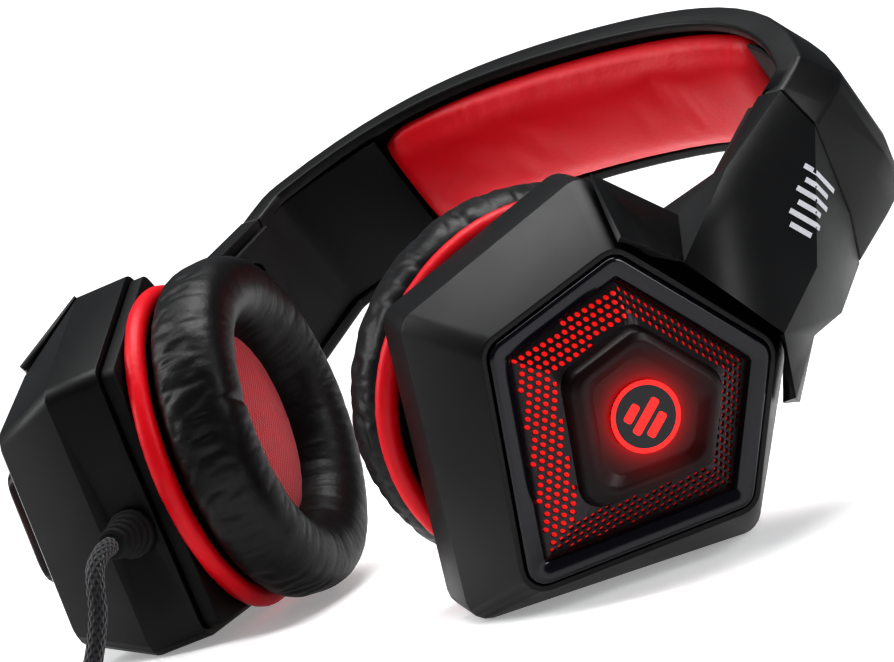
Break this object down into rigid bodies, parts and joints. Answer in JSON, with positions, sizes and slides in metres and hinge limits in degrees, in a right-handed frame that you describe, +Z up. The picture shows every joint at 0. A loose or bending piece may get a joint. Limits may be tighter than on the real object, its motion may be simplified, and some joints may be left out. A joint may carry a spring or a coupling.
{
  "type": "gaming headset",
  "caption": "Wired over-ear gaming headset with an angular black shell, lit perforated grilles, red piping, sliding arms, tilting cups, a retracting microphone and an inline remote.",
  "frame": {"origin": "centre of the headset's footprint, on the surface it rests on", "axes": "+X across the two ear cups, towards the cup without the cord; +Y to the rear of the resting headset, where the crown lies; +Z up"},
  "size_m": [0.2618, 0.3109, 0.1124],
  "materials": {
    "shell_plastic": "satin",
    "gloss_plastic": "gloss",
    "grille_metal": "satin",
    "light_plastic": "satin",
    "black_leather": "satin",
    "red_leather": "satin",
    "red_mesh": "matte",
    "steel": "satin",
    "circuit_board": "satin",
    "driver_plastic": "matte",
    "black_rubber": "matte",
    "braid": "matte"
  },
  "bodies": {
    "headband": {"headband_shell": "shell_plastic", "headband_strip": "gloss_plastic", "headband_cushion": "red_leather", "right_temple_liner": "shell_plastic", "left_temple_liner": "shell_plastic"},
    "right_arm": {"right_arm": "shell_plastic", "right_slide_blade": "steel", "right_arm_cover": "shell_plastic", "right_cover_screw_1": "steel", "right_cover_screw_2": "steel", "right_cover_screw_3": "steel"},
    "left_arm": {"left_arm": "shell_plastic", "left_slide_blade": "steel", "left_arm_cover": "shell_plastic", "left_cover_screw_1": "steel", "left_cover_screw_2": "steel", "left_cover_screw_3": "steel"},
    "right_cup": {"right_cup_shell": "shell_plastic", "right_hinge_pin": "steel", "right_inner_plate": "shell_plastic", "right_bezel": "gloss_plastic", "right_grille": "grille_metal", "right_light_guide": "light_plastic", "right_badge": "gloss_plastic", "right_badge_light": "light_plastic", "right_light_board": "circuit_board", "right_driver_frame": "driver_plastic", "right_driver_magnet": "steel", "right_ear_cloth": "red_mesh", "right_piping": "red_leather", "right_ear_cushion": "black_leather"},
    "left_cup": {"left_cup_shell": "shell_plastic", "left_hinge_pin": "steel", "left_inner_plate": "shell_plastic", "left_bezel": "gloss_plastic", "left_grille": "grille_metal", "left_light_guide": "light_plastic", "left_badge": "gloss_plastic", "left_badge_light": "light_plastic", "left_light_board": "circuit_board", "left_driver_frame": "driver_plastic", "left_driver_magnet": "steel", "left_ear_cloth": "red_mesh", "left_piping": "red_leather", "left_ear_cushion": "black_leather", "left_strain_relief": "black_rubber", "left_control_board": "circuit_board", "cord_upper": "braid", "cord_lower": "braid", "cord_coil": "braid", "cord_end": "braid", "remote_body": "shell_plastic", "plug_body": "black_rubber", "plug_contact": "steel"},
    "microphone": {"left_mic_stalk": "black_rubber", "left_mic_capsule": "black_rubber"},
    "volume_wheel": {"volume_wheel": "black_rubber"},
    "mute_slider": {"mute_slider": "gloss_plastic"}
  },
  "joints": [
    {"name": "right_extend", "type": "slide", "parent": "headband", "child": "right_arm", "axis": [0, -0.8797, -0.4756], "range_m": [0, 0.012]},
    {"name": "right_tilt", "type": "hinge", "parent": "right_arm", "child": "right_cup", "pos_m": [0.09443, -0.02972, 0.05696], "axis": [0.2684, 0.654, -0.7073], "range_deg": [-4, 4]},
    {"name": "left_extend", "type": "slide", "parent": "headband", "child": "left_arm", "axis": [0, -0.8797, -0.4756], "range_m": [0, 0.012]},
    {"name": "left_tilt", "type": "hinge", "parent": "left_arm", "child": "left_cup", "pos_m": [-0.09443, -0.02972, 0.05696], "axis": [0.2684, -0.654, 0.7073], "range_deg": [-4, 4]},
    {"name": "mic_extend", "type": "slide", "parent": "left_cup", "child": "microphone", "axis": [-0.4103, 0.8221, -0.3946], "range_m": [0, 0.045]},
    {"name": "volume_turn", "type": "hinge", "parent": "left_cup", "child": "volume_wheel", "pos_m": [-0.0444, -0.136, 0.005], "axis": [0, 0, 1], "range_deg": [-135, 135]},
    {"name": "mute_slide", "type": "slide", "parent": "left_cup", "child": "mute_slider", "axis": [0, 1, 0], "range_m": [0, 0.003]}
  ]
}
